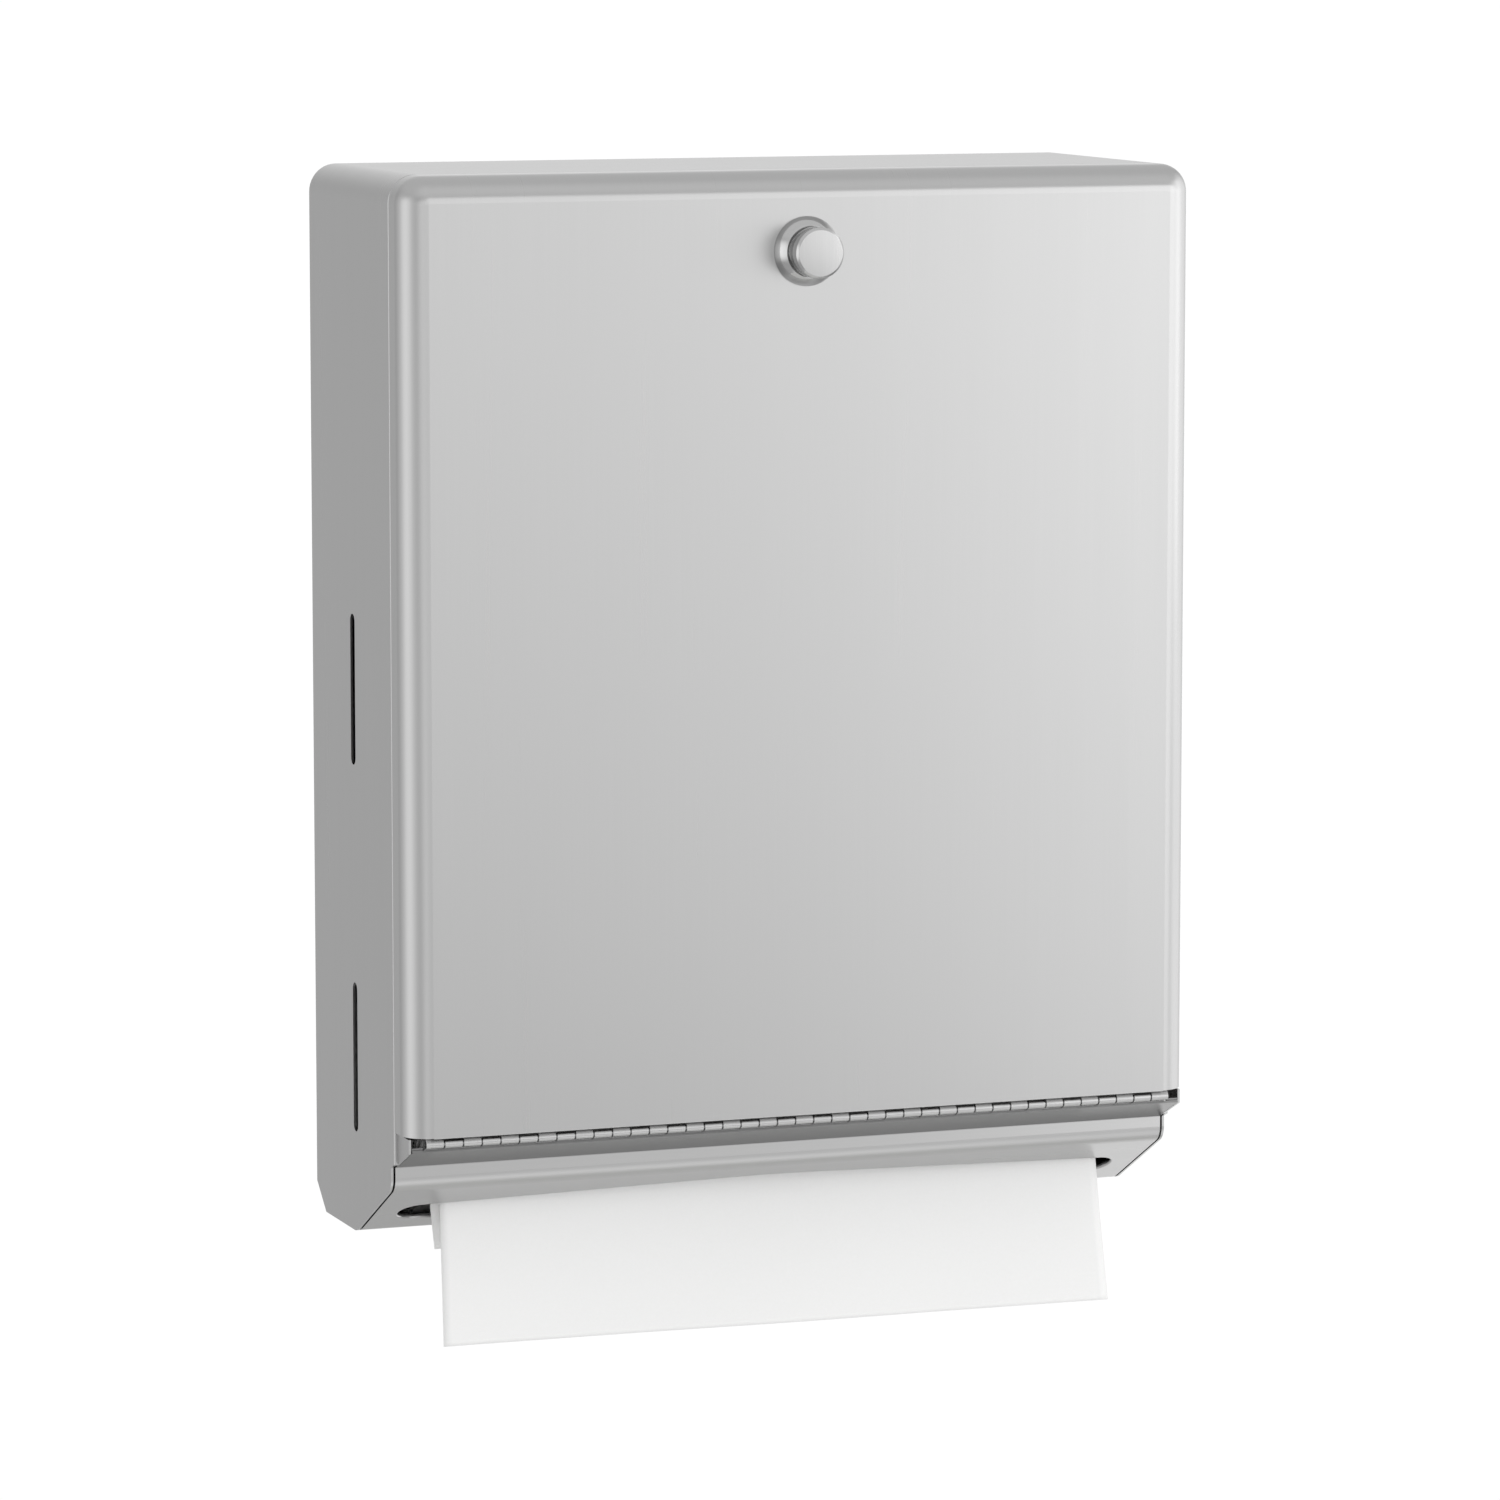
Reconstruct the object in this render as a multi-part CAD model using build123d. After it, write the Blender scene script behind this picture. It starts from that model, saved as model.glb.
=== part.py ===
from build123d import *
from math import asin, atan2, cos, hypot, sin, tan
import os

# Wall-mounted dispenser for folded paper towels, in millimetres.
# X runs to the right seen from the front, +Y into the wall, Z up.
# The origin is the centre of the wall-screw pattern on the back face.
# Depths are measured forward from the wall, heights up from the underside of the tray.

# Cabinet
cabinet_w = 275.0
cabinet_h = 352.0
cabinet_d = 104.0
sheet_t = 0.8
corner_r = 9.2
screws_below_top = 166.0
screw_pitch_x = 203.0
screw_pitch_z = 228.0
screw_hole_d = 5.5
back_flange_d = 12.0
joggle_r = 0.6
weld_gap = 0.2

# Refill slots in the sides
side_slot_w = 5.0
side_slot_l = 50.0
side_slot_setback = 43.2
side_slot_heights = (58.7, 181.4)

# Door
door_d = 15.0
door_edge_r = 8.8
door_bottom_h = 40.8
door_gap = 0.4
seam_gap = 0.6

# Towel tray
chamfer_d = 10.5
chamfer_h = 9.0
rear_flange_h = 16.0
incline_run = 39.5
nose_setback = 19.2
nose_bottom_h = 21.1
crease_h = 28.3
floor_bend_r = 6.0
nose_bend_r = 6.0
end_flange_h = 8.0
end_tab_h = 1.4
end_gap = 0.7
cove_cut_back = 1.6

# Dispensing slot, with distances measured down the incline from the nose
slot_end_room = 10.0
slot_end_front = 20.7
slot_mid_front = 12.4
slot_back = 34.7
slot_end_r = 6.8
slot_mid_r = 260.0
hem_w = 5.0
hem_edge_r = 0.75

# Piano hinge
hinge_t = 0.55
pin_d = 1.4
pin_clear = 0.05
knuckle_pitch = 6.4
knuckle_gap = 0.4
hinge_end_room = 4.0
axis_below_door = 2.3
door_leaf_h = 18.0
tray_leaf_l = 14.0
leaf_clear = 0.6

# Latch
latch_below_top = 26.2
escutcheon_d = 22.8
escutcheon_top_d = 16.4
escutcheon_h = 4.6
escutcheon_rim_h = 0.5
escutcheon_bulge = 0.4
bushing_d = 12.0
bushing_head_d = 13.4
bushing_head_t = 1.0
bushing_inside_l = 11.5
bushing_clear = 0.1
lock_washer_d = 19.0
lock_washer_t = 0.8
nut_flats = 17.0
nut_t = 4.0
knob_d = 16.6
knob_l = 7.2
knob_chamfer = 0.8
knob_clear = 0.3
spindle_d = 6.0
spindle_clear = 0.05
spindle_in_knob_l = 6.0
square_w = 4.2
fixed_clear = 0.02
spring_washer_d = 11.0
spring_washer_t = 0.4
spring_washer_h = 0.7
spring_washer_clear = 0.1
cam_t = 1.5
cam_w = 12.0
cam_l = 20.0
cam_tip_r = 2.0
stud_d = 4.0
stud_proud_l = 0.8
cam_washer_d = 9.0
cam_washer_t = 0.8
cam_nut_flats = 7.0
cam_nut_t = 3.2
strike_t = 1.2
strike_w = 40.0
strike_flange_d = 6.0
strike_overlap = 4.8
strike_play = 0.5

# Towels, with the places of the hanging one as distances behind the nose and heights
towel_side_room = 20.0
towel_x = 3.0
towel_front_room = 11.0
towel_back_room = 13.0
stack_top_h = 108.0
towel_gap = 0.3
towel_t = 0.4
front_leaf_foot = (13.8, -36.4)
back_leaf_foot = (29.8, -6.0)
towel_fold = (22.7, 29.5)
towel_fold_r = 1.0
throat_margin = 1.0

# Levels and places that follow from the sizes above
top_z = screws_below_top
floor_z = top_z - cabinet_h
seam_d = cabinet_d - door_d
shell_front_d = seam_d - seam_gap
skin_inner_d = cabinet_d - sheet_t
inner_w = cabinet_w - 2 * sheet_t
lip_inset = sheet_t + door_gap
lip_inner_inset = lip_inset + sheet_t
lip_front_d = cabinet_d - door_edge_r
tray_front_w = cabinet_w - 2 * (lip_inner_inset + weld_gap)
side_slot_d = seam_d - side_slot_setback
nose_d = cabinet_d - nose_setback
floor_front_d = nose_d - incline_run
incline_angle = atan2(nose_bottom_h, incline_run)
slot_w = cabinet_w - 2 * slot_end_room
towel_w = cabinet_w - 2 * towel_side_room

# The hinge axis lies behind the door's lower edge, and the cove passes just under the knuckles
knuckle_r = pin_d / 2 + pin_clear + hinge_t
axis_d = skin_inner_d - knuckle_r
axis_h = door_bottom_h - axis_below_door
knuckle_pairs = int((tray_front_w - 2 * hinge_end_room - knuckle_pitch) / (2 * knuckle_pitch))
knuckle_count = 2 * knuckle_pairs + 1
hinge_l = knuckle_count * knuckle_pitch - knuckle_gap
cove_drop = knuckle_r + sheet_t
cove_reach = hypot(axis_d - nose_d, axis_h - crease_h)
cove_angle = atan2(axis_h - crease_h, axis_d - nose_d) - asin(cove_drop / cove_reach)
cove_l = (cove_reach**2 - cove_drop**2) ** 0.5 - cove_cut_back
cove_end_d = nose_d + cove_l * cos(cove_angle)
cove_end_h = crease_h + cove_l * sin(cove_angle)
strip_front_d = cove_end_d - sheet_t


def cove_height(depth):
    """Height of the cove's outer face at a depth in front of the crease."""
    return crease_h + (depth - nose_d) * tan(cove_angle)


# The latch pieces follow one another along its axis, from the knob's face inwards
latch_h = cabinet_h - latch_below_top
bushing_head_d0 = cabinet_d + escutcheon_h
knob_back_d = bushing_head_d0 + bushing_head_t + knob_clear
knob_face_d = knob_back_d + knob_l
nut_front_d = skin_inner_d - lock_washer_t
bushing_end_d = skin_inner_d - bushing_inside_l
spring_front_d = bushing_end_d - spring_washer_clear
cam_front_d = spring_front_d - spring_washer_h
cam_back_d = cam_front_d - cam_t
cam_nut_front_d = cam_back_d - cam_washer_t
cam_nut_back_d = cam_nut_front_d - cam_nut_t
strike_back_d = cam_front_d + strike_play


def point(depth, height):
    """Y and Z of a place given by its depth and height."""
    return (-depth, floor_z + height)


def outline(points, bends=0):
    """A side-view region from corners of depth and height, with a bend radius at each corner."""
    return make_face(FilletPolyline(*[point(*p) for p in points], radius=bends, close=True))


def along_x(section, width, centre_x=0.0):
    """A side-view region carried across the given width."""
    return Pos(centre_x, 0, 0) * extrude(Plane.YZ * section, amount=width / 2, both=True)


def block(x_range, depth_range, height_range):
    size = [high - low for low, high in (x_range, depth_range, height_range)]
    x, depth, height = [(low + high) / 2 for low, high in (x_range, depth_range, height_range)]
    return Pos(x, -depth, floor_z + height) * Box(*size)


def both_sides(near, far):
    """The range of X from near to far on the right, and its mirror image on the left."""
    return (near, far), (-far, -near)


def arch(inset):
    """Front outline of the cabinet drawn in by the inset, with round upper corners."""
    height = cabinet_h - inset
    shape = Pos(0, floor_z + height / 2) * Rectangle(cabinet_w - 2 * inset, height)
    return fillet(shape.vertices().group_by(Axis.Y)[-1], corner_r - inset)


def slab(front, depth0, depth1):
    """A front-view region given a thickness."""
    return Pos(0, -depth0, 0) * extrude(Plane.XZ * front, amount=depth1 - depth0)


def rounded_slab(inset, depth0, depth1, edge_r):
    """The cabinet's outline given a thickness, with a round front edge along the sides and the top."""
    form = slab(arch(inset), depth0, depth1)
    front = form.faces().sort_by(Axis.Y)[0]
    return fillet(front.edges().sort_by(Axis.Z)[1:], edge_r)


def wrap(outer, inner, depth0, depth1):
    """A sheet that follows the sides and the top between two insets."""
    return slab(arch(outer) - arch(inner), depth0, depth1)


def latch_turned(profile):
    """A turned piece on the latch axis, from a profile in radius and depth."""
    return Pos(0, 0, floor_z + latch_h) * Rot(90, 0, 0) * revolve(Plane.XZ * profile, Axis.Z)


def latch_ring(bore, outer, depth0, depth1):
    corners = [(bore / 2, depth0), (outer / 2, depth0), (outer / 2, depth1), (bore / 2, depth1)]
    return latch_turned(make_face(Polyline(*corners, close=True)))


def latch_plate(front, depth0, depth1):
    return slab(Pos(0, floor_z + latch_h) * front, depth0, depth1)


def hexagon(flats):
    return RegularPolygon(flats / 2, 6, major_radius=False)


# Side view of the space that the cabinet encloses, from the back panel round the tray to the lip
tray_corners = [
    (chamfer_d, 0),
    (floor_front_d, 0),
    (nose_d, nose_bottom_h),
    (nose_d, crease_h),
]
tray_bends = [sheet_t, floor_bend_r, nose_bend_r, 0]
bay = outline(
    [
        (sheet_t, cabinet_h),
        (sheet_t, chamfer_h),
        *tray_corners,
        (cabinet_d, cove_height(cabinet_d)),
        (cabinet_d, cabinet_h),
    ],
    [0, sheet_t, *tray_bends, 0, 0],
)


def cabinet_shell():
    wall = rounded_slab(0, 0, shell_front_d, joggle_r)
    wall -= slab(arch(sheet_t), 0, shell_front_d - sheet_t)
    wall -= slab(arch(lip_inner_inset), 0, shell_front_d)
    lip = wrap(lip_inset, lip_inner_inset, shell_front_d, strip_front_d)
    strip_top_h = door_bottom_h - seam_gap
    strip_foot = (strip_front_d, cove_height(strip_front_d))
    strip = [strip_foot, (strip_front_d, strip_top_h), (lip_front_d, strip_top_h)]
    corners = [(0, cabinet_h), (0, chamfer_h), *tray_corners, *strip, (lip_front_d, cabinet_h)]
    side = outline(corners, [0, sheet_t, *tray_bends, 0, 0, 0, 0])
    shell = (wall + lip) & along_x(side, cabinet_w)
    for height in side_slot_heights:
        slot = Pos(*point(side_slot_d, height)) * SlotOverall(side_slot_l, side_slot_w, rotation=90)
        shell -= along_x(slot, cabinet_w + sheet_t)
    return shell


def back_panel():
    plate = slab(arch(sheet_t), 0, sheet_t)
    plate -= block((-cabinet_w, cabinet_w), (-sheet_t, 2 * sheet_t), (-sheet_t, chamfer_h))
    flange = wrap(sheet_t, 2 * sheet_t, sheet_t, back_flange_d)
    flange_foot_h = chamfer_h + rear_flange_h + weld_gap
    flange -= block((-cabinet_w, cabinet_w), (0, cabinet_d), (-sheet_t, flange_foot_h))
    holes = Sketch() + GridLocations(screw_pitch_x, screw_pitch_z, 2, 2) * Circle(screw_hole_d / 2)
    return plate + flange - slab(holes, -sheet_t, back_flange_d)


def slot_region(grow):
    """The dispensing slot in the plane of the incline, widened all round."""
    end = slot_w / 2 + grow
    back = -slot_back - grow
    end_front = grow - slot_end_front
    corners = [(-end, back), (end, back), (end, end_front), (0, grow - slot_mid_front), (-end, end_front)]
    end_r = slot_end_r + grow
    return make_face(FilletPolyline(*corners, radius=[end_r, end_r, end_r, slot_mid_r, end_r], close=True))


def slot_hem():
    """The folded edge round the slot, twice as thick as the sheet, with a rounded lip."""
    hem = extrude(slot_region(hem_w) - slot_region(0), amount=-2 * sheet_t)
    lips = [wire.edges() for face in hem.faces().filter_by(Axis.Z) for wire in face.inner_wires()]
    return fillet([edge for lip in lips for edge in lip], hem_edge_r)


def towel_tray():
    lip_top = (cove_end_d - sheet_t * sin(cove_angle), cove_end_h + sheet_t * cos(cove_angle))
    rear_top_h = chamfer_h + rear_flange_h
    reach = outline([
        (0, rear_top_h),
        (nose_d / 2, rear_top_h),
        (nose_d - 2 * sheet_t, crease_h + sheet_t),
        lip_top,
        (cove_end_d, cove_end_h),
        (cove_end_d, -sheet_t),
        (0, -sheet_t),
    ])
    tray = along_x((bay - offset(bay, -sheet_t)) & reach, inner_w)
    front_half_w = tray_front_w / 2
    for side in both_sides(front_half_w, cabinet_w):
        tray -= block(side, (shell_front_d - 2 * sheet_t, cabinet_d), (0, cabinet_h))
    for side in both_sides(inner_w / 2 - end_gap, cabinet_w):
        tray -= block(side, (floor_front_d - floor_bend_r, cabinet_d), (-sheet_t, cabinet_h))
    for side in both_sides(inner_w / 2 - sheet_t, inner_w / 2):
        flange_range = (chamfer_d + floor_bend_r, floor_front_d - floor_bend_r)
        tray += block(side, flange_range, (sheet_t, sheet_t + end_flange_h))
    for side in both_sides(hinge_l / 2 + leaf_clear, front_half_w):
        tab_range = (cove_end_d - 2 * sheet_t, cove_end_d - sheet_t)
        tray += block(side, tab_range, (cove_end_h, cove_end_h + end_tab_h))
    outward = (0, -sin(incline_angle), -cos(incline_angle))
    incline = Plane((0, *point(nose_d, nose_bottom_h)), x_dir=(1, 0, 0), z_dir=outward)
    tray -= extrude(incline * slot_region(hem_w / 2), amount=2 * sheet_t, both=True)
    return tray + incline * slot_hem()


def latch_strike():
    width = (-strike_w / 2, strike_w / 2)
    top_h = cabinet_h - lip_inner_inset
    leg_foot_h = latch_h + cam_l - strike_overlap
    leg = block(width, (strike_back_d, strike_back_d + strike_t), (leg_foot_h, top_h))
    return leg + block(width, (strike_back_d, strike_back_d + strike_flange_d), (top_h - strike_t, top_h))


def knuckle_range(index, extra=0.0):
    start = index * knuckle_pitch - hinge_l / 2
    return (start - extra, start + knuckle_pitch - knuckle_gap + extra)


def hinge_bar(radius, x_range):
    """A round bar on the hinge axis."""
    disc = Pos(*point(axis_d, axis_h)) * Circle(radius)
    return along_x(disc, x_range[1] - x_range[0], sum(x_range) / 2)


def hinge_leaf(plate, first, cut):
    """A leaf with every second knuckle from the first, cut away round the other leaf's knuckles."""
    for index in range(1 - first, knuckle_count, 2):
        plate -= cut(knuckle_range(index, knuckle_gap))
    for index in range(first, knuckle_count, 2):
        plate += hinge_bar(knuckle_r, knuckle_range(index))
    return plate - hinge_bar(knuckle_r - hinge_t, (-hinge_l, hinge_l))


def hinge_door_leaf():
    depth_range = (skin_inner_d - hinge_t, skin_inner_d)
    plate = block((-hinge_l / 2, hinge_l / 2), depth_range, (axis_h, door_bottom_h + door_leaf_h))
    for side in both_sides(cabinet_w / 2 - door_edge_r, cabinet_w):
        plate -= block(side, depth_range, (door_bottom_h - leaf_clear, cabinet_h))
    notch_range = (axis_h, door_bottom_h + leaf_clear)
    return hinge_leaf(plate, 0, lambda x_range: block(x_range, depth_range, notch_range))


def hinge_tray_leaf():
    lean_d, lean_h = -sin(cove_angle), cos(cove_angle)
    foot = (axis_d - knuckle_r * lean_d, axis_h - knuckle_r * lean_h)
    heel = (foot[0] - tray_leaf_l * lean_h, foot[1] + tray_leaf_l * lean_d)
    upper = [(depth + hinge_t * lean_d, height + hinge_t * lean_h) for depth, height in (heel, foot)]
    plate = along_x(outline([foot, heel, *upper]), hinge_l)
    return hinge_leaf(plate, 1, lambda x_range: hinge_bar(knuckle_r + leaf_clear, x_range))


def hinge_pin():
    return hinge_bar(pin_d / 2, (-hinge_l / 2, hinge_l / 2))


def door_panel():
    door = rounded_slab(0, seam_d, cabinet_d, door_edge_r)
    door -= rounded_slab(sheet_t, seam_d, skin_inner_d, door_edge_r - sheet_t)
    door -= block((-cabinet_w, cabinet_w), (0, 2 * cabinet_d), (-sheet_t, door_bottom_h))
    return door - latch_plate(Circle(bushing_d / 2 + bushing_clear), seam_d, cabinet_d + sheet_t)


def latch_escutcheon():
    bore_r = bushing_d / 2 + bushing_clear
    rim_r, crown_r = escutcheon_d / 2, escutcheon_top_d / 2
    rim = (rim_r, cabinet_d + escutcheon_rim_h)
    crown = (crown_r, bushing_head_d0)
    middle = ((rim[0] + crown[0]) / 2 + escutcheon_bulge, (rim[1] + crown[1]) / 2 + escutcheon_bulge)
    inside = Polyline(crown, (bore_r, bushing_head_d0), (bore_r, cabinet_d), (rim_r, cabinet_d), rim)
    return latch_turned(make_face(inside + ThreePointArc(rim, middle, crown)))


def latch_bushing():
    bore = spindle_d + 2 * spindle_clear
    barrel = latch_ring(bore, bushing_d, bushing_end_d, bushing_head_d0)
    return barrel + latch_ring(bore, bushing_head_d, bushing_head_d0, bushing_head_d0 + bushing_head_t)


def latch_lock_washer():
    return latch_ring(bushing_d + 2 * bushing_clear, lock_washer_d, nut_front_d, skin_inner_d)


def latch_bushing_nut():
    nut = hexagon(nut_flats) - Circle(bushing_d / 2 + fixed_clear)
    return latch_plate(nut, nut_front_d - nut_t, nut_front_d)


def latch_knob():
    radius = knob_d / 2
    corners = [
        (0, knob_back_d),
        (radius - knob_chamfer, knob_back_d),
        (radius, knob_back_d + knob_chamfer),
        (radius, knob_face_d - knob_chamfer),
        (radius - knob_chamfer, knob_face_d),
        (0, knob_face_d),
    ]
    knob = latch_turned(make_face(Polyline(*corners, close=True)))
    socket = Circle(spindle_d / 2 + fixed_clear)
    return knob - latch_plate(socket, knob_back_d - knob_clear, knob_back_d + spindle_in_knob_l)


def latch_spindle():
    shaft = latch_plate(Circle(spindle_d / 2), cam_front_d, knob_back_d + spindle_in_knob_l)
    square = latch_plate(Rectangle(square_w, square_w), cam_back_d, cam_front_d)
    return shaft + square + latch_plate(Circle(stud_d / 2), cam_nut_back_d - stud_proud_l, cam_back_d)


def latch_spring_washer():
    bore_r = spindle_d / 2 + knob_clear
    rim_r = spring_washer_d / 2
    corners = [
        (bore_r, spring_front_d - spring_washer_t),
        (bore_r, spring_front_d),
        (rim_r, cam_front_d + spring_washer_t),
        (rim_r, cam_front_d),
    ]
    return latch_turned(make_face(Polyline(*corners, close=True)))


def latch_cam():
    arm = Pos(-cam_l / 2, 0) * Rectangle(cam_l, cam_w)
    arm = fillet(arm.vertices().group_by(Axis.X)[0], cam_tip_r)
    hole_w = square_w + 2 * fixed_clear
    return latch_plate(arm + Circle(cam_w / 2) - Rectangle(hole_w, hole_w), cam_back_d, cam_front_d)


def latch_cam_washer():
    return latch_ring(stud_d + 2 * bushing_clear, cam_washer_d, cam_nut_front_d, cam_back_d)


def latch_cam_nut():
    nut = hexagon(cam_nut_flats) - Circle(stud_d / 2 + fixed_clear)
    return latch_plate(nut, cam_nut_back_d, cam_nut_front_d)


# Side view of the towel that hangs out: up its long leaf, over the fold and down its short leaf
towel_places = (front_leaf_foot, towel_fold, back_leaf_foot)
towel_corners = [point(nose_d - behind, height) for behind, height in towel_places]
towel_path = FilletPolyline(*towel_corners, radius=towel_fold_r)


def towel_stack():
    """Folded towels that settle into the tray and arch over the dispensing slot."""
    back, front = towel_back_room, cabinet_d - towel_front_room
    pile = outline([(back, -sheet_t), (front, -sheet_t), (front, stack_top_h), (back, stack_top_h)])
    slot_front_d = nose_d - slot_mid_front * cos(incline_angle) + throat_margin
    slot_back_d = nose_d - slot_back * cos(incline_angle) - throat_margin
    roof_h = towel_path.bounding_box().max.Y - floor_z + towel_t + towel_gap
    throat = outline([(slot_back_d, 0), (slot_front_d, 0), (slot_front_d, roof_h), (slot_back_d, roof_h)])
    settled = offset(bay, -(sheet_t + towel_gap + hinge_t))
    return along_x((pile & settled) - throat, towel_w, towel_x)


def dispensed_towel():
    """One towel folded over, its long leaf in front and its short leaf behind."""
    return along_x(make_face(offset(towel_path, towel_t, side=Side.LEFT)), towel_w, towel_x)


pieces = [
    cabinet_shell,
    back_panel,
    towel_tray,
    latch_strike,
    hinge_tray_leaf,
    hinge_pin,
    towel_stack,
    door_panel,
    hinge_door_leaf,
    latch_escutcheon,
    latch_bushing,
    latch_lock_washer,
    latch_bushing_nut,
    latch_knob,
    latch_spindle,
    latch_spring_washer,
    latch_cam,
    latch_cam_washer,
    latch_cam_nut,
    dispensed_towel,
]

os.makedirs("parts", exist_ok=True)
for piece in pieces:
    export_step(piece(), f"parts/{piece.__name__}.step")
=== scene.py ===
import bmesh
import bpy
import math
from mathutils import Matrix, Vector, noise


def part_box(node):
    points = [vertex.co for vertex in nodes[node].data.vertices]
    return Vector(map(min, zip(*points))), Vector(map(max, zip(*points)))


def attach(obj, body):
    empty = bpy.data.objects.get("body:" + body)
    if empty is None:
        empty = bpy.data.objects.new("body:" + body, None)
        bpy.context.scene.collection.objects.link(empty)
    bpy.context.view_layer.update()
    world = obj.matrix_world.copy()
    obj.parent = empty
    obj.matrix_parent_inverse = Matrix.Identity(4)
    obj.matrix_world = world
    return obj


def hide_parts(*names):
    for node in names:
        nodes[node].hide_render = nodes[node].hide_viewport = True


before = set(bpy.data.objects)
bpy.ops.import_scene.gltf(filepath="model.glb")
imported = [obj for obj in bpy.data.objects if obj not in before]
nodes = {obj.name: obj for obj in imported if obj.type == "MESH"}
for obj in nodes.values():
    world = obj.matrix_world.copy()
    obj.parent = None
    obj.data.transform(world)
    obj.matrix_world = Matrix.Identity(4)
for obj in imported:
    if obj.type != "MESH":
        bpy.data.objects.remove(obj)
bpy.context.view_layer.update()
mm = 0.001
print("frame loaded:", len(nodes), "nodes")

# Depths run forward from the wall and heights up from the underside of the tray, in mm
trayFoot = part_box("towel_tray")[0].z / mm
doorFront = -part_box("door_panel")[0].y / mm
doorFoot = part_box("door_panel")[0].z / mm - trayFoot
latchHeight = sum(v.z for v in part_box("latch_knob")) / 2 / mm - trayFoot


def spot(x, depth, height):
    return Vector((x, -depth, trayFoot + height)) * mm


def linear(hexColour):
    # sRGB hex to the linear values that the sockets take
    parts = [int(hexColour[i:i + 2], 16) / 255 for i in (1, 3, 5)]
    return tuple(p / 12.92 if p <= 0.04045 else ((p + 0.055) / 1.055) ** 2.4 for p in parts) + (1.0,)


def addNode(tree, kind, links=None, values=None, **settings):
    # one node with its settings, its socket values and the links that come into it
    node = tree.nodes.new(kind)
    for name, value in settings.items():
        setattr(node, name, value)
    for key, value in (values or {}).items():
        node.inputs[key].default_value = value
    for key, source in (links or {}).items():
        tree.links.new(source, node.inputs[key])
    return node


def startMaterial(name):
    material = bpy.data.materials.new(name)
    material.use_nodes = True
    tree = material.node_tree
    tree.nodes.clear()
    shader = addNode(tree, "ShaderNodeBsdfPrincipled")
    addNode(tree, "ShaderNodeOutputMaterial", {"Surface": shader.outputs[0]})
    place = addNode(tree, "ShaderNodeTexCoord").outputs["Object"]
    return material, tree, shader, place


# Satin stainless sheet, brushed one way with a fine belt. The eye gets a soft broad reflection, drawn out
# across the grain, with faint streaks along it and a slow change of polish over the sheet.
satinLook = {
    "colour": "#B9B9B9",
    "streakColour": "#B6B6B6",
    "roughness": (0.272, 0.294),
    "anisotropy": 0.65,
    "streakAcross": 0.4,  # real grit lines are 0.1 mm apart, drawn coarser so that they show
    "streakAlong": 110.0,
    "bandAcross": 7.0,
    "bandAlong": 260.0,
    "bumpHeight": 0.0002,
}
# the cove under the hinge, above the nose's crease, gets painted shade: a darker grey is put into its colour above
# this height
trayLook = dict(satinLook, colour="#B8B8B8", streakColour="#B3B3B3", paintedShadeFrom=(28.0, 28.7),
                paintedShadeColour="#7E7E7E")
hingeLook = dict(satinLook, colour="#C2C2C2", streakColour="#AEAEAE", roughness=(0.24, 0.36), streakAlong=9.0)
knobLook = dict(satinLook, colour="#BCBCBC", streakColour="#B4B4B4", roughness=(0.26, 0.32), streakAlong=14.0,
                streakAcross=0.35)


def satinStainless(name, fastAxes, grain, look=satinLook):
    material, tree, shader, place = startMaterial(name)
    patterns = []
    for across, along, detail in ((look["streakAcross"], look["streakAlong"], 3.0),
                                  (look["bandAcross"], look["bandAlong"], 1.0)):
        scale = [1 / ((across if axis in fastAxes else along) * mm) for axis in "XYZ"]
        stretched = addNode(tree, "ShaderNodeMapping", {"Vector": place}, {"Scale": scale})
        pattern = addNode(tree, "ShaderNodeTexNoise", {"Vector": stretched.outputs[0]},
                          {"Scale": 1.0, "Detail": detail, "Roughness": 0.6})
        patterns.append(pattern.outputs[0])
    fine, bands = patterns
    polish = addNode(tree, "ShaderNodeMath", {0: fine, 1: bands}, operation="ADD")
    roughness = addNode(tree, "ShaderNodeMapRange", {"Value": polish.outputs[0]},
                        {"From Min": 0.6, "From Max": 1.4, "To Min": look["roughness"][0],
                         "To Max": look["roughness"][1]})
    colour = addNode(tree, "ShaderNodeMix", {"Factor": fine}, data_type="RGBA")
    colour.inputs[6].default_value = linear(look["colour"])
    colour.inputs[7].default_value = linear(look["streakColour"])
    if "paintedShadeColour" in look:
        # painted shade: above the given height (the cove over the nose's crease) the colour turns to a darker grey
        height = addNode(tree, "ShaderNodeSeparateXYZ", {0: place}).outputs["Z"]
        foot, top = [(trayFoot + h) * mm for h in look["paintedShadeFrom"]]
        paintedShadeMask = addNode(tree, "ShaderNodeMapRange", {"Value": height}, {"From Min": foot, "From Max": top})
        unshadedColour = colour.outputs[2]
        colour = addNode(tree, "ShaderNodeMix", {"Factor": paintedShadeMask.outputs[0], 6: unshadedColour}, data_type="RGBA")
        colour.inputs[7].default_value = linear(look["paintedShadeColour"])
    bump = addNode(tree, "ShaderNodeBump", {"Height": fine}, {"Strength": 1.0, "Distance": look["bumpHeight"] * mm})
    facing = addNode(tree, "ShaderNodeNewGeometry").outputs["Normal"]
    acrossGrain = addNode(tree, "ShaderNodeVectorMath", {0: facing}, {1: grain}, operation="CROSS_PRODUCT")
    shader.inputs["Metallic"].default_value = 1.0
    shader.inputs["Anisotropic"].default_value = look["anisotropy"]
    for socket, source in (("Base Color", colour.outputs[2]), ("Roughness", roughness.outputs[0]),
                           ("Normal", bump.outputs[0]), ("Tangent", acrossGrain.outputs[0])):
        tree.links.new(source, shader.inputs[socket])
    return material


# Polished chrome on a turned brass ring: a clear reflection, broken a little by the lathe's fine rings.
chromeLook = {"colour": "#C0C0C0", "roughness": (0.07, 0.12), "ringSpacing": 0.4, "ringHeight": 0.001, "smear": 6}


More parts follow.
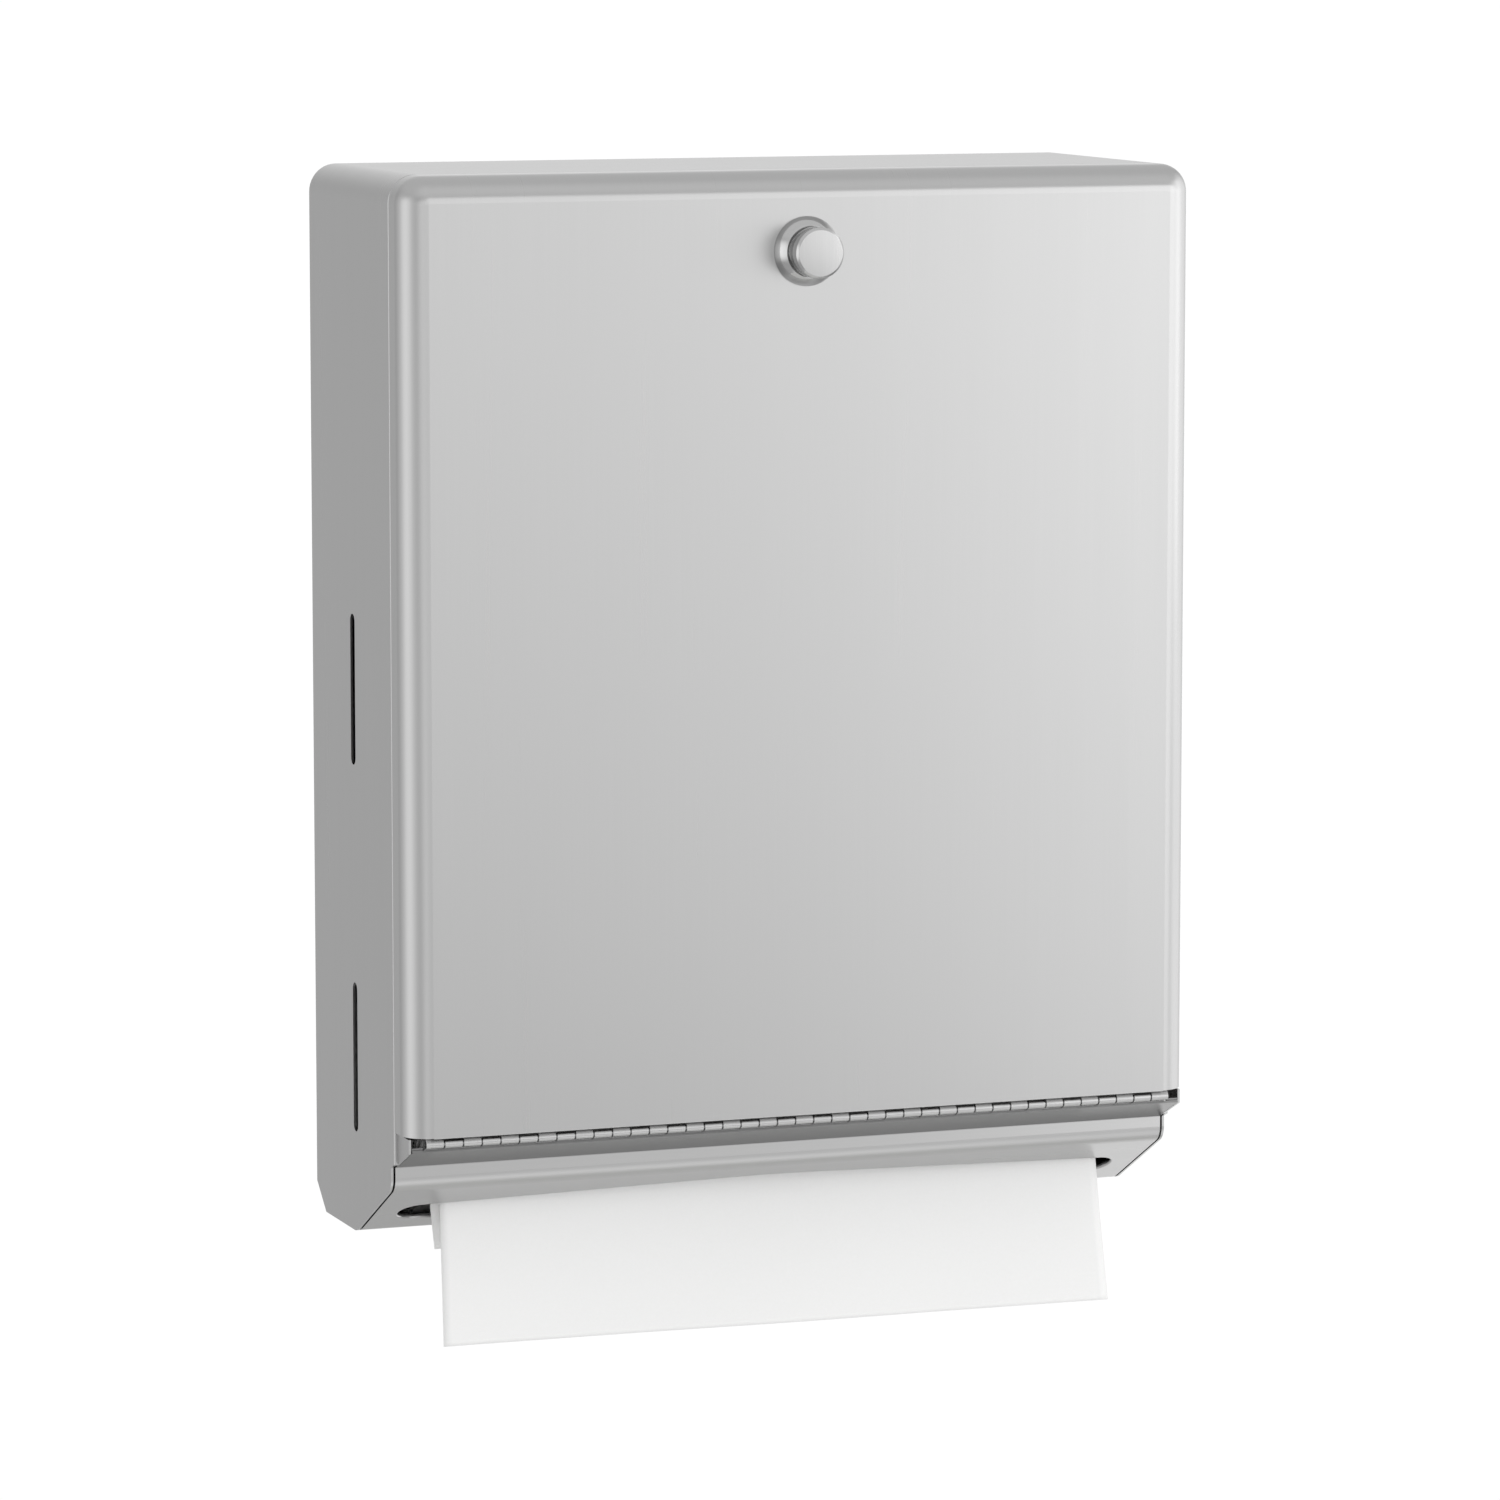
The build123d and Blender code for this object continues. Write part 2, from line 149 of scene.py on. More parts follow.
def turnedChrome(name, look=chromeLook):
    material, tree, shader, place = startMaterial(name)
    axisPoint = spot(0, 0, latchHeight)
    centred = addNode(tree, "ShaderNodeMapping", {"Vector": place}, {"Location": -axisPoint})
    rings = addNode(tree, "ShaderNodeTexWave", {"Vector": centred.outputs[0]},
                    {"Scale": math.tau / 20 / (look["ringSpacing"] * mm), "Distortion": 0.0},
                    wave_type="RINGS", rings_direction="Y")
    smears = addNode(tree, "ShaderNodeTexNoise", {"Vector": place},
                     {"Scale": 1 / (look["smear"] * mm), "Detail": 3.0})
    roughness = addNode(tree, "ShaderNodeMapRange", {"Value": smears.outputs[0]},
                        {"From Min": 0.3, "From Max": 0.7, "To Min": look["roughness"][0],
                         "To Max": look["roughness"][1]})
    bump = addNode(tree, "ShaderNodeBump", {"Height": rings.outputs["Fac"]},
                   {"Strength": 1.0, "Distance": look["ringHeight"] * mm})
    shader.inputs["Metallic"].default_value = 1.0
    shader.inputs["Base Color"].default_value = linear(look["colour"])
    tree.links.new(roughness.outputs[0], shader.inputs["Roughness"])
    tree.links.new(bump.outputs[0], shader.inputs["Normal"])
    return material


# Zinc-plated steel: a dull bluish grey with a fine mottle from the plating bath.
zincLook = {"colour": "#B9BCBE", "patchColour": "#A3A7AA", "patch": 2.2, "roughness": (0.32, 0.5),
            "bumpHeight": 0.004}


def zincPlate(name, look=zincLook):
    material, tree, shader, place = startMaterial(name)
    patches = addNode(tree, "ShaderNodeTexNoise", {"Vector": place},
                      {"Scale": 1 / (look["patch"] * mm), "Detail": 4.0, "Roughness": 0.7})
    colour = addNode(tree, "ShaderNodeMix", {"Factor": patches.outputs[0]}, data_type="RGBA")
    colour.inputs[6].default_value = linear(look["colour"])
    colour.inputs[7].default_value = linear(look["patchColour"])
    roughness = addNode(tree, "ShaderNodeMapRange", {"Value": patches.outputs[0]},
                        {"From Min": 0.3, "From Max": 0.7, "To Min": look["roughness"][0],
                         "To Max": look["roughness"][1]})
    bump = addNode(tree, "ShaderNodeBump", {"Height": patches.outputs[0]},
                   {"Strength": 1.0, "Distance": look["bumpHeight"] * mm})
    shader.inputs["Metallic"].default_value = 1.0
    for socket, source in (("Base Color", colour.outputs[2]), ("Roughness", roughness.outputs[0]),
                           ("Normal", bump.outputs[0])):
        tree.links.new(source, shader.inputs[socket])
    return material


# Bleached crepe paper: matt and white, with low fibres and the small cross ridges of the creping blade.
paperLook = {"colour": "#F7F7F7", "fibreColour": "#F1F1F0", "fibre": 0.8, "ridge": 0.9, "ridgeStretch": 9,
             "bumpHeight": 0.02, "roughness": 0.92, "specular": 0.25}


def crepePaper(name, look=paperLook):
    material, tree, shader, place = startMaterial(name)
    fibres = addNode(tree, "ShaderNodeTexNoise", {"Vector": place},
                     {"Scale": 1 / (look["fibre"] * mm), "Detail": 4.0, "Roughness": 0.7})
    ridge = look["ridge"]
    ridged = addNode(tree, "ShaderNodeMapping", {"Vector": place},
                     {"Scale": [1 / (size * mm) for size in (look["ridgeStretch"] * ridge, ridge, ridge)]})
    ridges = addNode(tree, "ShaderNodeTexNoise", {"Vector": ridged.outputs[0]}, {"Scale": 1.0, "Detail": 2.0})
    colour = addNode(tree, "ShaderNodeMix", {"Factor": fibres.outputs[0]}, data_type="RGBA")
    colour.inputs[6].default_value = linear(look["colour"])
    colour.inputs[7].default_value = linear(look["fibreColour"])
    relief = addNode(tree, "ShaderNodeMath", {0: fibres.outputs[0], 1: ridges.outputs[0]}, operation="ADD")
    bump = addNode(tree, "ShaderNodeBump", {"Height": relief.outputs[0]},
                   {"Strength": 1.0, "Distance": look["bumpHeight"] * mm})
    shader.inputs["Roughness"].default_value = look["roughness"]
    shader.inputs["Specular IOR Level"].default_value = look["specular"]
    tree.links.new(colour.outputs[2], shader.inputs["Base Color"])
    tree.links.new(bump.outputs[0], shader.inputs["Normal"])
    return material


doorSteel = satinStainless("satinStainlessDoor", "X", (0, 0.08, 1))
shellSteel = satinStainless("satinStainlessShell", "Y", (0.7, 0.1, 0.7))
traySteel = satinStainless("satinStainlessTray", "YZ", (1, 0.05, 0.05), trayLook)
hingeSteel = satinStainless("milledHingeSteel", "YZ", (1, 0.05, 0.05), hingeLook)
knobSteel = satinStainless("satinChromeKnob", "XY", (0.1, 0.08, 1), knobLook)
chrome = turnedChrome("polishedChrome")
zinc = zincPlate("zincPlatedSteel")
paper = crepePaper("crepePaper")

nodeFinish = {
    "door_panel": doorSteel,
    "cabinet_shell": shellSteel,
    "back_panel": shellSteel,
    "towel_tray": traySteel,
    "hinge_pin": hingeSteel,
}
for name, node in nodes.items():
    node.data.materials.clear()
    node.data.materials.append(nodeFinish.get(name, zinc))
print("materials made")


# Mesh helpers

def makePiece(name, builder, material, sharpAngle=35):
    mesh = bpy.data.meshes.new(name)
    builder.to_mesh(mesh)
    builder.free()
    mesh.polygons.foreach_set("use_smooth", [True] * len(mesh.polygons))
    mesh.set_sharp_from_angle(angle=math.radians(sharpAngle))
    mesh.materials.append(material)
    piece = bpy.data.objects.new(name, mesh)
    bpy.context.scene.collection.objects.link(piece)
    return piece


def bakeModifiers(piece):
    # the evaluated result becomes the piece's own plain mesh
    evaluated = piece.evaluated_get(bpy.context.evaluated_depsgraph_get())
    mesh = bpy.data.meshes.new_from_object(evaluated)
    piece.modifiers.clear()
    piece.data = mesh


def dress(piece, body, slotName, *replaced):
    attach(piece, body)
    if replaced:
        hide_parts(*replaced)


def roundCorners(points, radius, steps=5, closed=True):
    # a 2-D outline with an arc at each corner
    points = [Vector(p) for p in points]
    last = len(points) - 1
    rounded = []
    for i, p in enumerate(points):
        if not closed and i in (0, last):
            rounded.append(p)
            continue
        before, after = points[i - 1] - p, points[(i + 1) % len(points)] - p
        half = before.angle(after) / 2
        back = min(radius / math.tan(half), 0.45 * min(before.length, after.length))
        start, end = p + before.normalized() * back, p + after.normalized() * back
        centre = p + (before.normalized() + after.normalized()).normalized() * back / math.cos(half)
        arm, turn = start - centre, (end - centre).angle_signed(start - centre)
        for k in range(steps + 1):
            rounded.append(centre + Matrix.Rotation(turn * k / steps, 2) @ arm)
    return rounded


def sheetSides(line, thick):
    # both faces of a bent sheet, from its centre line
    sides = []
    for i, p in enumerate(line):
        ahead = (line[min(i + 1, len(line) - 1)] - line[max(i - 1, 0)]).normalized()
        across = Vector((-ahead.y, ahead.x)) * thick / 2
        sides.append((p + across, p - across))
    return sides


def sweepRings(rings, closedRing=True, closedRow=False, capEnds=False):
    # joins rows of points into a skin
    builder = bmesh.new()
    rows = [[builder.verts.new(p) for p in ring] for ring in rings]
    pairs = list(zip(rows, rows[1:] + rows[:1] if closedRow else rows[1:]))
    for low, high in pairs:
        count = len(low)
        for i in range(count if closedRing else count - 1):
            j = (i + 1) % count
            builder.faces.new((low[i], low[j], high[j], high[i]))
    if capEnds:
        builder.faces.new(rows[0])
        builder.faces.new(rows[-1])
    bmesh.ops.remove_doubles(builder, verts=builder.verts, dist=1e-7)
    bmesh.ops.dissolve_degenerate(builder, dist=1e-8, edges=builder.edges)
    bmesh.ops.recalc_face_normals(builder, faces=builder.faces)
    return builder


def turned(profileAt, segments=96):
    # a piece turned on the latch axis, from a closed profile of radius and depth at each angle
    rings = []
    for k in range(segments):
        angle = math.tau * k / segments
        rings.append([spot(r * math.cos(angle), depth, latchHeight + r * math.sin(angle))
                      for r, depth in profileAt(angle)])
    return sweepRings(rings, closedRow=True)


# Copies in a row, joined to the piece that carries them

def rowTree():
    tree = bpy.data.node_groups.new("rowOfCopies", "GeometryNodeTree")
    sockets = {}
    for name, kind in (("Carrier", "Geometry"), ("Copy", "Object"), ("Count", "Int"), ("Start", "Vector"),
                       ("Step", "Vector"), ("Finish", "Material")):
        sockets[name] = tree.interface.new_socket(name, in_out="INPUT", socket_type=f"NodeSocket{kind}").identifier
    tree.interface.new_socket("Geometry", in_out="OUTPUT", socket_type="NodeSocketGeometry")
    inputs = addNode(tree, "NodeGroupInput").outputs
    line = addNode(tree, "GeometryNodeMeshLine",
                   {"Count": inputs["Count"], "Start Location": inputs["Start"], "Offset": inputs["Step"]})
    copy = addNode(tree, "GeometryNodeObjectInfo", {"Object": inputs["Copy"]})
    copies = addNode(tree, "GeometryNodeInstanceOnPoints",
                     {"Points": line.outputs[0], "Instance": copy.outputs["Geometry"]})
    joined = addNode(tree, "GeometryNodeJoinGeometry", {"Geometry": copies.outputs[0]})
    tree.links.new(inputs["Carrier"], joined.inputs["Geometry"])
    real = addNode(tree, "GeometryNodeRealizeInstances", {"Geometry": joined.outputs[0]})
    finished = addNode(tree, "GeometryNodeSetMaterial", {"Geometry": real.outputs[0], "Material": inputs["Finish"]})
    addNode(tree, "NodeGroupOutput", {"Geometry": finished.outputs[0]})
    return tree, sockets


copyRow, copySockets = rowTree()


def addRow(carrier, copy, count, start, step, finish):
    row = carrier.modifiers.new("row", "NODES")
    row.node_group = copyRow
    for name, value in (("Copy", copy), ("Count", count), ("Start", start), ("Step", step), ("Finish", finish)):
        row[copySockets[name]] = value
    bakeModifiers(carrier)


# Piano hinge: two leaves, each with every second knuckle rolled from it, and spot welds along them

hinge = {
    "axisDepth": -sum(v.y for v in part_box("hinge_pin")) / 2 / mm,
    "axisHeight": sum(v.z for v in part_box("hinge_pin")) / 2 / mm - trayFoot,
    "barrelRadius": 1.3,
    "sheet": 0.55,
    "pitch": 6.4,
    "knuckleLength": 6.0,
    "knuckles": 41,
    "endBevel": 0.12,
    "leadBend": 0.5,
    "leafEdge": 0.12,
    "doorTabTop": doorFoot + 0.7,
    "doorLeafTop": doorFoot + 18.0,
    "doorLeafLength": 257.4,
    "doorRollStart": 40,
    "doorRollOpen": 75,
    "neckBack": 0.1,
    "neckRise": 0.1,
    "neckDrop": 0.25,
    "hemRise": 0.1,
    "hemDrop": 0.3,
    "hemDepth": 0.8,
    "hemRound": 0.36,
    "trayLeafLength": 14.0,
    "trayLeafLean": 24.762,
    "trayTabLength": 1.9,
    "trayRollOpen": 38,
    "weldPitch": 32.0,
    "welds": 8,
    "weldsBelowTop": 6,
    "weldRadius": 2.3,
    "weldProud": 0.14,
    # shares of the weld's radius and height, from the middle of the button to its edge
    "weldProfile": ((0.0, 1.0), (0.55, 0.85), (0.75, 0.35), (0.9, 0.5), (1.0, -0.2)),
}


def barrelPoint(angle, radius):
    # depth and height round the hinge axis, with 0 degrees forward and 90 up
    return Vector((hinge["axisDepth"] + radius * math.cos(math.radians(angle)),
                   hinge["axisHeight"] + radius * math.sin(math.radians(angle))))


def knuckle(name, lead, leafAngle, turn, rollOpen, steps=26):
    # the leaf's sheet comes in along its lead, meets the barrel at leafAngle and rolls round the pin
    middleRadius = hinge["barrelRadius"] - hinge["sheet"] / 2
    roll = [barrelPoint(leafAngle + turn * (360 - rollOpen) * k / steps, middleRadius) for k in range(steps + 1)]
    comingIn = roundCorners([*lead, roll[0]], hinge["leadBend"], 4, closed=False)[:-1]
    sides = sheetSides(comingIn + roll, hinge["sheet"])
    outside, inside = [a for a, b in sides], [b for a, b in sides]
    half, bevel = hinge["knuckleLength"] / 2, hinge["endBevel"]
    outline = outside + inside[::-1]
    middle = [(a + b) / 2 for a, b in zip(outside, inside)]
    core = middle + middle[::-1]
    shrink = 1 - bevel / (hinge["sheet"] / 2)
    rings = []
    for x, share in ((-half, shrink), (-half + bevel, 1.0), (half - bevel, 1.0), (half, shrink)):
        rings.append([spot(x, *(c + (p - c) * share)) for p, c in zip(outline, core)])
    builder = sweepRings(rings)
    builder.verts.ensure_lookup_table()
    count = len(outside)
    for x in (-half, half):
        end = sorted((v for v in builder.verts if abs(v.co.x - x * mm) < 1e-7), key=lambda v: v.index)
        for i in range(count - 1):
            builder.faces.new((end[i], end[i + 1], end[2 * count - 2 - i], end[2 * count - 1 - i]))
    bmesh.ops.recalc_face_normals(builder, faces=builder.faces)
    return makePiece(name, builder, hingeSteel)


def leafPlate(name, corners, length):
    # a strip between four corners of depth and height, with softened long edges
    half = length / 2
    outline = roundCorners(corners, hinge["leafEdge"], 3)
    builder = sweepRings([[spot(x, *p) for p in outline] for x in (-half, half)], capEnds=True)
    return makePiece(name, builder, hingeSteel)


def weldDimple(name, centre, outward, sides=20):
    # a low button with a ring pressed round it, as an electrode leaves it
    across = Vector((1, 0, 0))
    side = Vector(outward).cross(across).normalized()
    rings = []
    for share, height in hinge["weldProfile"]:
        radius = hinge["weldRadius"] * share
        rings.append([centre + (across * math.cos(a) + side * math.sin(a)) * radius * mm
                      + Vector(outward).normalized() * height * hinge["weldProud"] * mm
                      for a in (math.tau * k / sides for k in range(sides))])
    builder = sweepRings(rings)
    edges = [e for e in builder.edges if e.is_boundary]
    bmesh.ops.contextual_create(builder, geom=edges)
    bmesh.ops.recalc_face_normals(builder, faces=builder.faces)
    return makePiece(name, builder, hingeSteel, 60)


def hingeLeaf(name, node, body, corners, length, rolled, first, weldAt, weldOutward):
    plate = leafPlate(name, corners, length)
    roll = knuckle(name + "Knuckle", *rolled)
    start = (first - (hinge["knuckles"] - 1) / 2) * hinge["pitch"] * mm
    count = (hinge["knuckles"] - first + 1) // 2
    addRow(plate, roll, count, (start, 0, 0), (2 * hinge["pitch"] * mm, 0, 0), hingeSteel)
    weld = weldDimple(name + "Weld", spot(0, *weldAt), weldOutward)
    firstWeld = -(hinge["welds"] - 1) / 2 * hinge["weldPitch"] * mm
    addRow(plate, weld, hinge["welds"], (firstWeld, 0, 0), (hinge["weldPitch"] * mm, 0, 0), hingeSteel)
    for tool in (roll, weld):
        bpy.data.objects.remove(tool)
    dress(plate, body, "hinge_steel", node)


def doorLeaf():
    front = hinge["axisDepth"] + hinge["barrelRadius"]
    back = front - hinge["sheet"]
    low, high = hinge["doorTabTop"], hinge["doorLeafTop"]
    corners = [(front, low), (front, high), (back, high), (back, low)]
    # a neck set back above each knuckle, so that the roll stands clear of the door's edge
    lead = [Vector(((front + back) / 2, low + hinge["neckRise"])),
            Vector((hinge["axisDepth"] - hinge["neckBack"], doorFoot - hinge["neckDrop"]))]
    hingeLeaf("hingeDoorLeaf", "hinge_door_leaf", "door", corners, hinge["doorLeafLength"],
              (lead, hinge["doorRollStart"], -1, hinge["doorRollOpen"]), 0,
              (back, high - hinge["weldsBelowTop"]), (0, 1, 0))


def doorHem():
    # the door's lower edge is rolled under, and its shade draws a fine dark line over the knuckles
    half = hinge["doorLeafLength"] / 2
    inside, top, foot = doorFront - hinge["hemDepth"], doorFoot + hinge["hemRise"], doorFoot - hinge["hemDrop"]
    corners = [(doorFront, top), (inside, top), (inside, foot), (doorFront, foot)]
    outline = roundCorners(corners, hinge["hemRound"], 6)
    builder = sweepRings([[spot(x, *p) for p in outline] for x in (-half, half)], capEnds=True)
    dress(makePiece("doorHem", builder, doorSteel), "door", "satin_stainless")


def trayLeaf():
    lean = math.radians(hinge["trayLeafLean"])
    along, up = Vector((-math.cos(lean), -math.sin(lean))), Vector((-math.sin(lean), math.cos(lean)))
    under = barrelPoint(hinge["trayLeafLean"] - 90, hinge["barrelRadius"])
    near, far = under + along * hinge["trayTabLength"], under + along * hinge["trayLeafLength"]
    corners = [near, near + up * hinge["sheet"], far + up * hinge["sheet"], far]
    weldAt = (near + far) / 2 + up * hinge["sheet"]
    length = hinge["knuckles"] * hinge["pitch"] - (hinge["pitch"] - hinge["knuckleLength"])
    lead = [(near + near + up * hinge["sheet"]) / 2]
    hingeLeaf("hingeTrayLeaf", "hinge_tray_leaf", "cabinet", corners, length,
              (lead, hinge["trayLeafLean"] - 90, 1, hinge["trayRollOpen"]), 1, weldAt, (0, -up[0], up[1]))


doorLeaf()
doorHem()
trayLeaf()
print("hinge leaves rolled")


# Latch: turned ring and knob outside, threaded barrel and nuts inside

latch = {
    "ringRadius": 11.4,
    "ringRim": 0.5,
    "ringHeight": -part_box("latch_escutcheon")[0].y / mm - doorFront,
    "ringCrest": 8.5,
    "ringBulge": 0.28,
    "wellDepth": 1.5,
    "wellWall": 0.4,
    "wellRound": 0.3,
    "seatRadius": 6.9,
    "knobRadius": 8.3,
    "knobChamfer": 0.8,
    "knobEdge": 0.22,
    "knobSocket": 6.0,
    "satinFacing": 0.97,  # faces turned this far to the front are satin, the rest of the knob is chrome
    "barrelRadius": 6.0,
    "barrelRoom": 0.1,
    "barrelBore": 3.05,
    "headRadius": 6.7,
    "headThickness": 1.0,
    "headChamfer": 0.3,
    "threadPitch": 1.0,
    "threadDepth": 0.45,
    "threadSteps": 6,
    "threadStop": 1,  # how far behind the door's face the thread runs out
    "leadSteps": 5,
    "leadDrop": 0.3,
    "nutFlats": 17.0,
    "nutFace": 0.97,
    "nutSlope": 30,
    "nutChamfer": 0.3,
    "camNutFlats": 7.0,
    "studRadius": 2.0,
}


def depthsOf(node):
    low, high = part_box(node)
    return -high.y / mm, -low.y / mm


def escutcheon():
    bore = latch["barrelRadius"] + latch["barrelRoom"]
    back, crown = doorFront, doorFront + latch["ringHeight"]
    rim = Vector((latch["ringRadius"], back + latch["ringRim"]))
    crest = Vector((latch["ringCrest"], crown))
    middle = (rim + crest) / 2 + (crest - rim).orthogonal().normalized() * -2 * latch["ringBulge"]
    dome = [rim * (1 - t) ** 2 + middle * 2 * t * (1 - t) + crest * t ** 2 for t in (k / 14 for k in range(15))]
    inner, seat, floor = latch["ringCrest"] - latch["wellWall"], latch["seatRadius"], crown - latch["wellDepth"]
    well = roundCorners([crest, (inner, crown), (inner, floor), (seat, floor), (seat, crown), (bore, crown)],
                        latch["wellRound"], 4, closed=False)
    profile = [(bore, back), (latch["ringRadius"], back), *dome, *well[1:]]
    piece = makePiece("latchEscutcheon", turned(lambda angle: profile, 128), chrome, 40)
    dress(piece, "door", "bright_chrome", "latch_escutcheon")


def knob():
    back, face = depthsOf("latch_knob")
    radius, chamfer = latch["knobRadius"], latch["knobChamfer"]
    socket, floor = latch["barrelBore"], back + latch["knobSocket"]
    rim = [(radius - chamfer, back), (radius, back + chamfer), (radius, face - chamfer), (radius - chamfer, face)]
    outside = roundCorners([(socket, back), *rim, (0, face)], latch["knobEdge"], 4, closed=False)
    profile = [(0, floor), (socket, floor), *outside]
    piece = makePiece("latchKnob", turned(lambda angle: profile, 128), knobSteel, 25)
    piece.data.materials.append(chrome)
    for polygon in piece.data.polygons:
        polygon.material_index = 0 if polygon.normal.y < -latch["satinFacing"] else 1
    dress(piece, "latch", "satin_chrome", "latch_knob")


def thread(angle, depth, radius, pitch, height):
    wave = (depth / pitch + angle / math.tau) % 1.0
    return radius - height * abs(2 * wave - 1)


def bushing():
    end, head = depthsOf("latch_bushing")
    neck = head - latch["headThickness"]
    pitch, height = latch["threadPitch"], latch["threadDepth"]
    radius, headRadius, chamfer = latch["barrelRadius"], latch["headRadius"], latch["headChamfer"]
    threadTop = doorFront - latch["threadStop"]
    steps = int((threadTop - end) / pitch * latch["threadSteps"])

    def profileAt(angle):
        barrel = []
        for k in range(steps + 1):
            depth = end + (threadTop - end) * k / steps
            fade = min(1.0, k / latch["leadSteps"])
            barrel.append((thread(angle, depth, radius, pitch, height) - latch["leadDrop"] * (1 - fade), depth))
        outer = [(radius, doorFront), (radius, neck), (headRadius, neck), (headRadius, head - chamfer),
                 (headRadius - chamfer, head)]
        return [(latch["barrelBore"], head), (latch["barrelBore"], end), *barrel, *outer]

    piece = makePiece("latchBushing", turned(profileAt, 72), chrome, 30)
    dress(piece, "door", "plain_steel", "latch_bushing")


def nut(name, node, body, flats, bore):
    back, front = depthsOf(node)
    corner, chamfer = flats / 2 * latch["nutFace"], latch["nutChamfer"]

    def profileAt(angle):
        edge = flats / 2 / math.cos((angle + math.pi / 6) % (math.pi / 3) - math.pi / 6)
        drop = (edge - corner) * math.tan(math.radians(latch["nutSlope"]))
        return [(bore, back + chamfer), (bore + chamfer, back), (corner, back), (edge, back + drop),
                (edge, front - drop), (corner, front), (bore + chamfer, front), (bore, front - chamfer)]

    piece = makePiece(name, turned(profileAt, 120), zinc, 30)
    dress(piece, body, "plain_steel", node)


escutcheon()
knob()
bushing()
nut("latchBushingNut", "latch_bushing_nut", "door", latch["nutFlats"], latch["barrelRadius"] - latch["threadDepth"])
nut("latchCamNut", "latch_cam_nut", "latch", latch["camNutFlats"], latch["studRadius"])
print("latch turned")


# Towels: the one that hangs from the slot, and the pile behind the door

towel = {
    "width": 235.0,
    "middle": 3.0,
    "sheet": 0.36,
    "frontFoot": (71.0, -36.4),
    "foldTop": (62.1, 29.5),
    "backFoot": (55.0, -6.0),
    "foldRadius": 1.2,
    "freeCurve": 1.4,  # how each leaf comes free of the fold, as a power of the way down it
    "flapCurve": 1.2,
    "wave": 0.5,
    "waveLength": 150.0,
    "wavePhase": 0.9,
    "flapWave": 0.8,
    "drift": 0.7,
    "driftSize": (60, 45),
    "driftSeed": 3.7,
    "twist": 3.0,
    "skew": 1.4,
    "flapSkew": 4.6,  # the short leaf behind swings to the right as it comes down
    "flapStart": 0.74,
    "hiddenFrom": 14,  # above this height the tray hides the front leaf
}


def hangingTowel():
    corner = roundCorners([towel["frontFoot"], towel["foldTop"], towel["backFoot"]], towel["foldRadius"], 10, False)
    front, back = corner[1], corner[-2]
    frontRows, flapRows, columns = 34, 18, 80
    path = [corner[0].lerp(front, k / frontRows) for k in range(frontRows)] + corner[1:-1]
    path += [back.lerp(corner[-1], k / flapRows) for k in range(1, flapRows + 1)]
    length = sum((b - a).length for a, b in zip(path, path[1:]))
    rings, run = [], 0.0
    frontLength = (corner[0] - front).length
    driftAcross, driftAlong = towel["driftSize"]
    for i, p in enumerate(path):
        run += (p - path[i - 1]).length if i else 0.0
        free = max(0.0, 1 - run / frontLength) ** towel["freeCurve"]
        loose = max(0.0, (run - frontLength) / (length - frontLength)) ** towel["flapCurve"]
        rise = (p.y - towel["hiddenFrom"]) / (front.y - towel["hiddenFrom"])
        hidden = 1.0 if run > frontLength else max(0.0, rise)
        ring = []
        for k in range(columns + 1):
            u = k / columns - 0.5
            x = towel["middle"] + u * towel["width"]
            ripple = math.sin(math.tau * x / towel["waveLength"] + towel["wavePhase"])
            sway = towel["wave"] * ripple * (free - towel["flapWave"] * loose)
            wander = noise.noise(Vector((x / driftAcross, run / driftAlong, towel["driftSeed"])))
            drift = wander * towel["drift"] * (free + loose)
            lean = towel["twist"] * u * 2 * free
            flapShift = towel["flapSkew"] * (loose - towel["flapStart"] * hidden) * (0.5 - u)
            shift = towel["skew"] * (u + 0.5) * free + flapShift
            ring.append(spot(x + shift, p.x + sway + drift + lean, p.y))
        rings.append(ring)
    piece = makePiece("hangingTowel", sweepRings(rings, closedRing=False), paper, 80)
    thicken = piece.modifiers.new("sheet", "SOLIDIFY")
    thicken.thickness = towel["sheet"] * mm
    thicken.offset = 0.0
    bakeModifiers(piece)
    dress(piece, "towel", "white_paper", "dispensed_towel")


pile = {
    "towels": 46,
    "back": 14.0,
    "front": 92.6,
    "panelGap": 0.66,
    "sheet": 0.4,
    "footRoom": 0.6,  # of the sheet, under the lowest panel
    "lowSetback": 1.2,  # the free edges of the lowest and highest panel stop short of the folds
    "highSetback": 0.6,
    "top": 107.6,
    "jitter": (1.1, 0.8, 0.0),
    "turn": 0.18,
    "seed": 11,
    # depth and height of the surface that the pile settles on: tray floor, arch over the slot, cove
    "rest": [(0, 1.2), (30, 1.2), (45, 13.0), (57, 31.5), (80, 31.8), (86, 33.4), (93, 36.4), (110, 43.0)],
}


